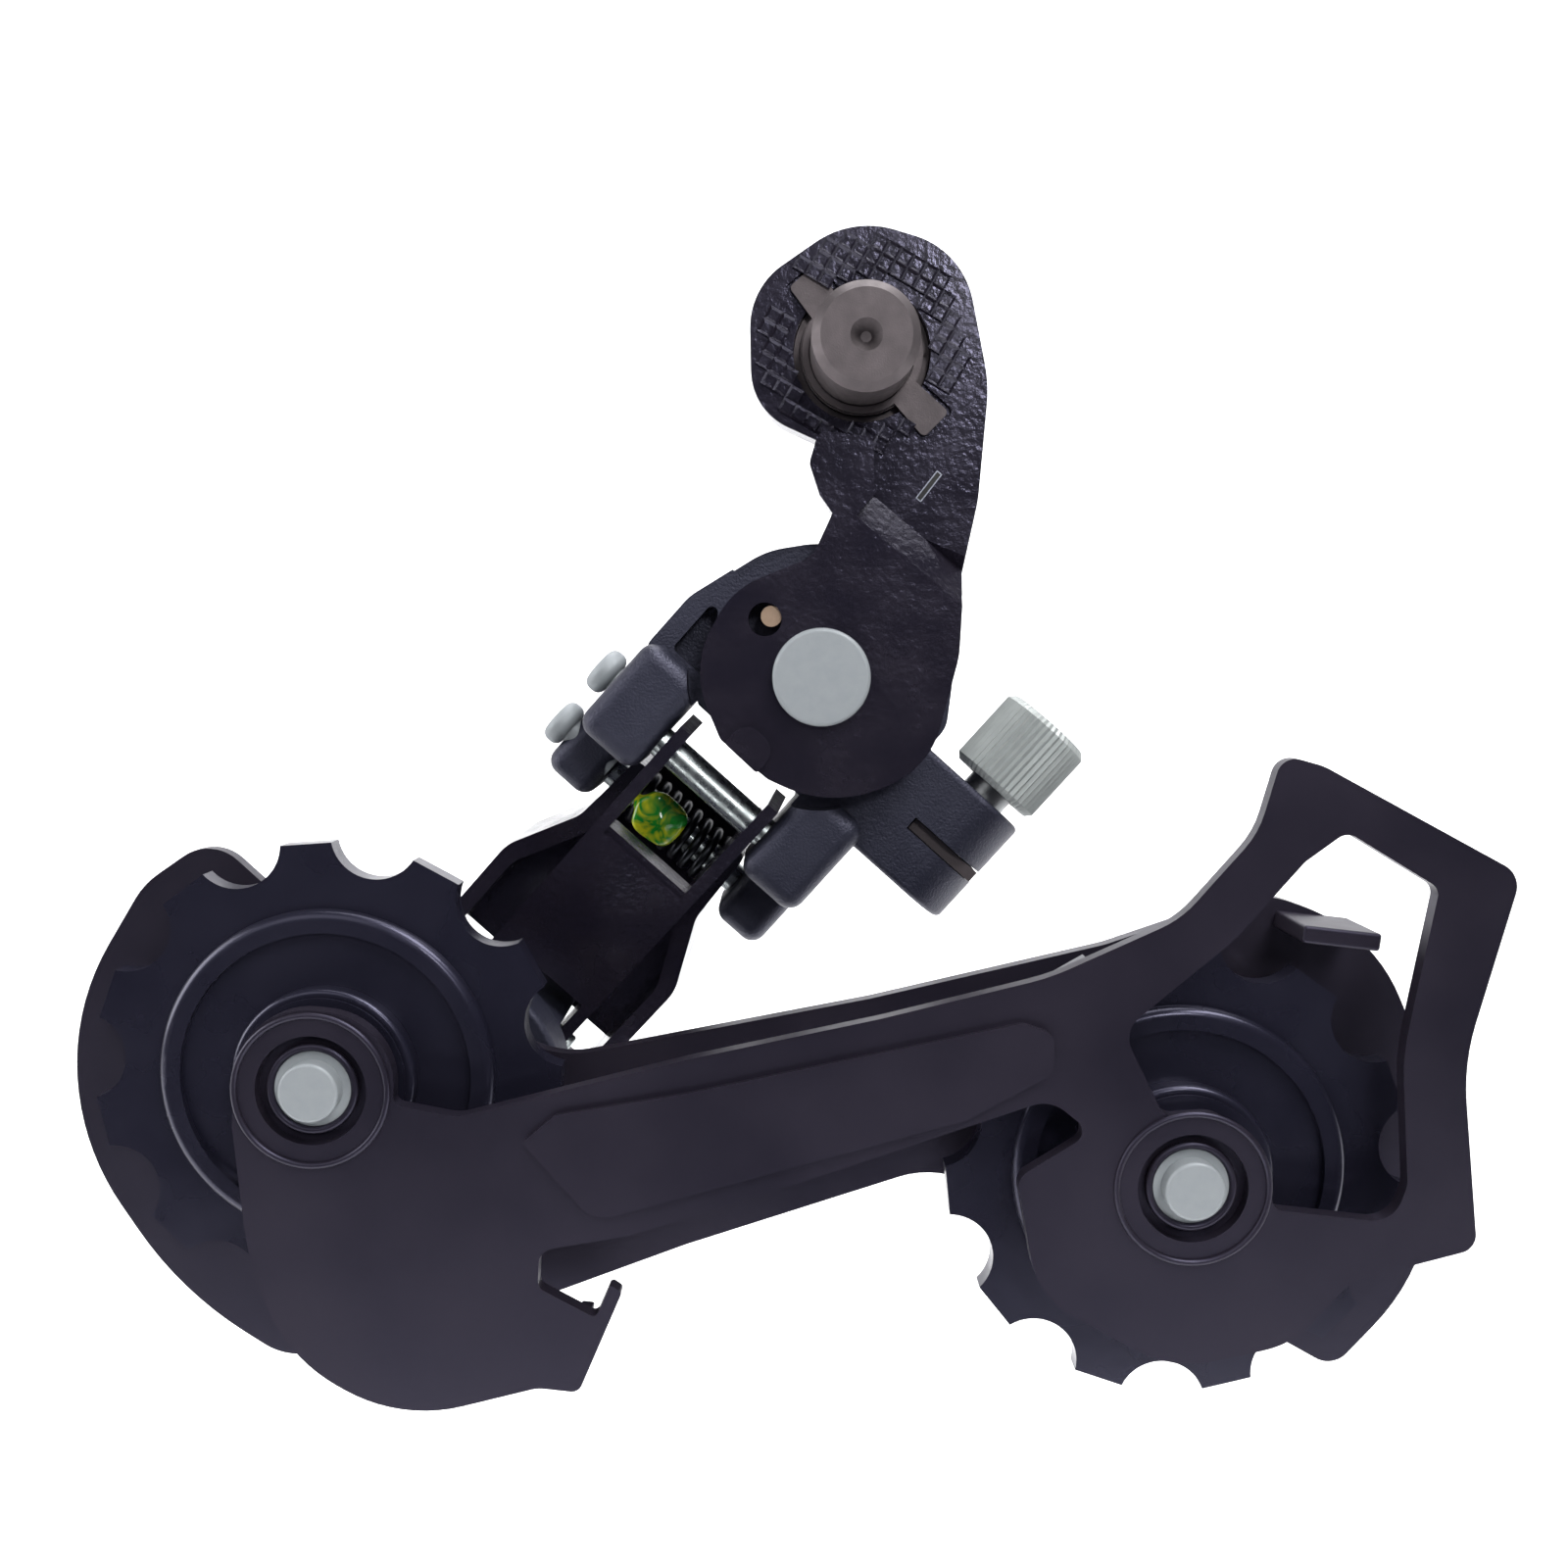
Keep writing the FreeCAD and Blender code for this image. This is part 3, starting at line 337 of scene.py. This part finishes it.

# %% [markdown]
# A plain figure 1 is stamped in the bracket below the eye. The groove is shown by two very thin
# inlays, each a text object made a mesh:
# a pale rim, slightly swollen, that is a painted highlight on the groove's edge, and the dark
# figure on it, that is painted shade in the groove.

# %% Stamped figure
FIGURE_HEIGHT = 4.6     # mm
FIGURE_THICK = 0.02     # mm
FIGURE_TURN = 38        # degrees, square to the arm's edge
# Painted light: the pale rim is a painted highlight and the dark figure is painted shade.
for label, swell, lift, material in (("stamped_figure_rim_painted_highlight", 0.10, 0.00002, crest_wear_and_painted_highlight),
                                     ("stamped_figure", 0.0, 0.00004, shadow_mark)):
    clear_pick()
    bpy.ops.object.text_add(rotation=(math.radians(90), 0, 0))
    figure = bpy.context.object
    figure.data.body = "1"
    figure.data.size = FIGURE_HEIGHT * MM
    figure.data.offset = swell * MM
    figure.data.extrude = FIGURE_THICK * MM
    figure.data.align_x = "CENTER"
    figure.data.align_y = "CENTER"
    bpy.ops.object.convert(target="MESH")
    bpy.context.object.matrix_world = (Matrix.Translation((0.0064, -lift, -0.0128))
                                       @ Matrix.Rotation(math.radians(FIGURE_TURN), 4, "Y")
                                       @ Matrix.Rotation(math.radians(90), 4, "X"))
    settle(label, "bracket", material, smooth=0)

# %% [markdown]
# The pivot spring's cut end shows in the small hole of the bracket. A short round bar, its rim
# bevelled like a sheared wire, stands just below the sheet's face.

# %% Spring end in its hole
LEG_RADIUS, LEG_LENGTH = 1.0, 2.6
LEG_RIM, LEG_ROUND = 0.15, 0.12
SPRING_HOLE = (-0.0087, -0.0014, -0.0252)
clear_pick()
bpy.ops.mesh.primitive_cylinder_add(vertices=28, radius=LEG_RADIUS * MM, depth=LEG_LENGTH * MM)
pick_faces(lambda c, n: abs(n.z) > 0.9)
bpy.ops.mesh.inset(thickness=LEG_RIM * MM, use_individual=True)
bpy.ops.mesh.bevel(offset=LEG_ROUND * MM, segments=2, affect="EDGES")
settle("spring_leg_end", "bracket", copper_wire,
       lie_along((0, -1, 0), SPRING_HOLE))

# %% [markdown]
# The barrel adjuster is turned by finger, so its knob is a cylinder with fine straight knurls,
# crowned ends and a socket for the cable housing. The ends of a fine cylinder are inset. Then its
# outer points are moved in code: all of them inwards along the axis, which crowns the ends, and
# every second one towards the axis, which makes the knurls. The socket is sunk from the end.

# %% Knurled barrel knob
clear_pick()
RIDGES = 46
KNOB_RADIUS, KNOB_LENGTH = 5.0, 8.6
CROWN_WIDE, CROWN_DRAW = 0.55, 0.86      # the crown's width in mm, and how far its rim draws in
KNURL_DRAW = 0.945
SOCKET_WALL, SOCKET_DEEP = 1.7, 5.0
FOOT_WALL, FOOT_DEEP = 1.6, 0.9
bpy.ops.mesh.primitive_cylinder_add(vertices=RIDGES * 2, radius=KNOB_RADIUS * MM,
                                    depth=KNOB_LENGTH * MM)
knob = bpy.context.object
pick_faces(lambda c, n: abs(n.z) > 0.9)
bpy.ops.mesh.inset(thickness=CROWN_WIDE * MM, use_individual=True)
bpy.ops.object.mode_set(mode="OBJECT")
for point in knob.data.vertices:
    radius = math.hypot(point.co.x, point.co.y)
    step = round(math.atan2(point.co.y, point.co.x) / (math.pi / RIDGES))
    if radius > 4.8 * MM:
        draw = KNURL_DRAW if step % 2 else 1.0
        point.co.x *= draw
        point.co.y *= draw
        point.co.z *= CROWN_DRAW
pick_faces(lambda c, n: n.z > 0.9)
bpy.ops.mesh.inset(thickness=SOCKET_WALL * MM, use_individual=True)
bpy.ops.mesh.extrude_region_move(TRANSFORM_OT_translate={"value": (0, 0, -SOCKET_DEEP * MM)})
pick_faces(lambda c, n: n.z < -0.9 and c.z < -4 * MM)
bpy.ops.mesh.inset(thickness=FOOT_WALL * MM, use_individual=True)
bpy.ops.mesh.extrude_region_move(TRANSFORM_OT_translate={"value": (0, 0, FOOT_DEEP * MM)})
knurled = settle("knurled_knob", "barrel", grey_knob,
                 lie_along(UP, in_link(21.4, 4.5, 17.3 + 1.4 + 4.3)), smooth=22)
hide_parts("barrel_knob")

# %% [markdown]
# Round each pulley axle the plate is pressed into a cup. The press leaves a fine raised lip at the
# cup's rim and a second one at its foot, each a thin ring that takes a crescent of light.

# %% Lips of the pressed cups
GUIDE = Vector((-0.0491, 0, -0.0670))
TENSION = Vector((0.0287, 0, -0.07586))
LIPS = [("rim", 6.75, 0.28, -17.72), ("foot", 3.75, 0.36, -17.0)]   # ring, thickness, depth, mm
for end, centre in (("guide", GUIDE), ("tension", TENSION)):
    for part, ring, thick, depth in LIPS:
        clear_pick()
        bpy.ops.mesh.primitive_torus_add(major_segments=72, minor_segments=14,
                                         major_radius=ring * MM, minor_radius=thick * MM)
        pick_faces(lambda c, n: n.z > 0.5)
        bpy.ops.mesh.inset(thickness=0.04 * MM)
        settle(f"cup_{part}_{end}", "cage", plate_coat,
               lie_along((0, -1, 0), centre + Vector((0, depth * MM, 0))), smooth=60)

# %% [markdown]
# Assembly grease is dabbed on the return spring. It is a soft lump, green with a yellow sheen where
# it is thick. A ball is flattened and made lumpy by slow waves, which move its points in code,
# and one level of subdivision melts the result.

# %% Grease dab
STREAK = 2.2                 # width of a streak, mm
DAB_RADIUS = 2.5
DAB_SHAPE = (1.15, 1.0, 0.62)


def grease():
    """Glossy, slightly clear green grease with yellow streaks."""
    made = bpy.data.materials.new("green_assembly_grease")
    made.use_nodes = True
    tree = made.node_tree
    shader = tree.nodes["Principled BSDF"]
    coords = add(tree, "ShaderNodeTexCoord")
    noise = add(tree, "ShaderNodeTexNoise", {".Scale": 1 / (STREAK * MM), ".Detail": 2.0,
                                             ".Distortion": 1.4},
                {"Vector": coords.outputs["Object"]})
    ramp = add(tree, "ShaderNodeValToRGB", (), {"Fac": noise.outputs["Fac"]})
    green, yellow = ramp.color_ramp.elements
    green.color, green.position = colour("#1F8A2E"), 0.40
    yellow.color, yellow.position = colour("#C9CC2A"), 0.62
    tree.links.new(ramp.outputs["Color"], shader.inputs["Base Color"])
    shader.inputs["Roughness"].default_value = 0.16
    shader.inputs["Subsurface Weight"].default_value = 0.3
    shader.inputs["Subsurface Radius"].default_value = (0.001, 0.001, 0.0004)
    return made


clear_pick()
bpy.ops.mesh.primitive_uv_sphere_add(segments=32, ring_count=18, radius=DAB_RADIUS * MM)
dab = bpy.context.object
for point in dab.data.vertices:
    x, y, z = (c / MM for c in point.co)
    lump = 1 + 0.10 * math.sin(2.1 * x + 0.7) * math.cos(1.7 * y) + 0.12 * math.sin(1.9 * z + x)
    point.co = Vector((x * DAB_SHAPE[0], y * DAB_SHAPE[1], z * DAB_SHAPE[2])) * lump * MM
clear_pick()
dab.select_set(True)
soft = dab.modifiers.new("soften", "SUBSURF")
soft.levels = soft.render_levels = 1
bpy.ops.object.modifier_apply(modifier="soften")
settle("grease_dab", "upper_knuckle", grease(),
       Matrix.Translation(in_link(-2.0, 7.9, -7.0))
       @ Matrix.Rotation(LINK_TURN, 4, "Y") @ Matrix.Rotation(math.radians(90), 4, "X"), smooth=80)

# %% [markdown]
# The studio is a pale floor with a pale wall behind, both far enough to stay even, and both of
# matt paper that glows a little, so that they stay clean white behind a black object.

# %% Studio paper
STAGE_SIZE = 5.0
FLOOR_AT = (0, 2.29, -0.20)   # low enough for the cage to swing clear of it
WALL_AT = (0, 0.9, 0)


def studio_white(name, tone, glow):
    """Matt paper with a faint mottling and its own soft glow."""
    made = bpy.data.materials.new(name)
    made.use_nodes = True
    tree = made.node_tree
    coords = add(tree, "ShaderNodeTexCoord")
    noise = add(tree, "ShaderNodeTexNoise", {".Scale": 14.0}, {"Vector": coords.outputs["Object"]})
    blend = add(tree, "ShaderNodeMix", {"data_type": "RGBA"}, {"Factor": noise.outputs["Fac"]})
    blend.inputs[MIX_FIRST].default_value = colour(tone)
    blend.inputs[MIX_SECOND].default_value = colour("#FBFBFB")
    shader = tree.nodes["Principled BSDF"]
    tree.links.new(blend.outputs[MIX_RESULT], shader.inputs["Base Color"])
    shader.inputs["Roughness"].default_value = 0.9
    shader.inputs["Emission Color"].default_value = (1, 1, 1, 1)
    shader.inputs["Emission Strength"].default_value = glow
    return made


clear_pick()
bpy.ops.mesh.primitive_plane_add(size=STAGE_SIZE, location=FLOOR_AT)
floor = bpy.context.object
floor.name = "studio_floor"
floor.data.materials.append(studio_white("studio_paper", "#F6F6F7", 0.5))
bpy.ops.mesh.primitive_plane_add(size=STAGE_SIZE, location=WALL_AT,
                                 rotation=(math.radians(90), 0, 0))
wall = bpy.context.object
wall.name = "studio_wall"
wall.data.materials.append(studio_white("studio_wall_paper", "#F8F8F9", 0.72))
print("floor at", FLOOR_AT[2] / MM, "mm, wall", WALL_AT[1] / MM, "mm behind")

# %% [markdown]
# Large soft lamps above, in front and at the left draw the long highlights that black parts need
# to be read, and a small one in front at the right glints on the knurl. The air itself is only
# faintly lit and a little blue, so that the black parts keep their cool cast and stay dark.

# %% Air and lamps
AIR = (0.8, 0.82, 1.0, 1)
AIR_STRENGTH = 0.08
AIM = Vector((0, 0, -0.045))   # the middle of the derailleur
world = bpy.data.worlds.new("studio_air")
world.use_nodes = True
world.node_tree.nodes["Background"].inputs["Color"].default_value = AIR
world.node_tree.nodes["Background"].inputs["Strength"].default_value = AIR_STRENGTH
bpy.context.scene.world = world

# Each lamp's name, place and width in metres, and watts.
LAMPS = [("key", (0.30, -0.30, 0.55), 0.35, 6.0), ("front", (-0.28, -0.50, 0.32), 0.45, 1.0),
         ("glint", (0.13, -0.46, 0.17), 0.10, 0.8), ("top", (0.05, 0.15, 0.75), 0.60, 6.0),
         ("side", (-0.60, -0.10, 0.10), 0.40, 3.0)]
for name, place, span, power in LAMPS:
    lamp = bpy.data.lights.new("lamp_" + name, "AREA")
    lamp.size = span
    lamp.energy = power
    holder = bpy.data.objects.new("lamp_" + name, lamp)
    bpy.context.collection.objects.link(holder)
    holder.location = place
    aim = AIM - Vector(place)
    holder.rotation_euler = aim.to_track_quat("-Z", "Y").to_euler()
print("lamps:", len(LAMPS), "watts:", sum(lamp[3] for lamp in LAMPS))

# %% [markdown]
# The camera stands close, about 14 cm in front and just above the middle, and looks down by five
# degrees. So near a lens the front faces grow and the far side of the cage narrows, which gives
# this small object its depth. Depth of field stays off, so that all of it is sharp.

# %% Camera
LOOK_DOWN = 5.26
eye = bpy.data.cameras.new("camera")
eye.lens = 32.985
eye.sensor_width = 36
eye.clip_start = 0.005
camera = bpy.data.objects.new("camera", eye)
bpy.context.collection.objects.link(camera)
camera.location = (-0.007479, -0.140905, -0.028574)
camera.rotation_euler = (math.radians(90 - LOOK_DOWN), 0, 0)
bpy.context.scene.camera = camera
bpy.context.scene.view_settings.view_transform = "Standard"
print("camera, mm:", [round(v / MM, 1) for v in camera.location], "lens:", round(eye.lens, 2))
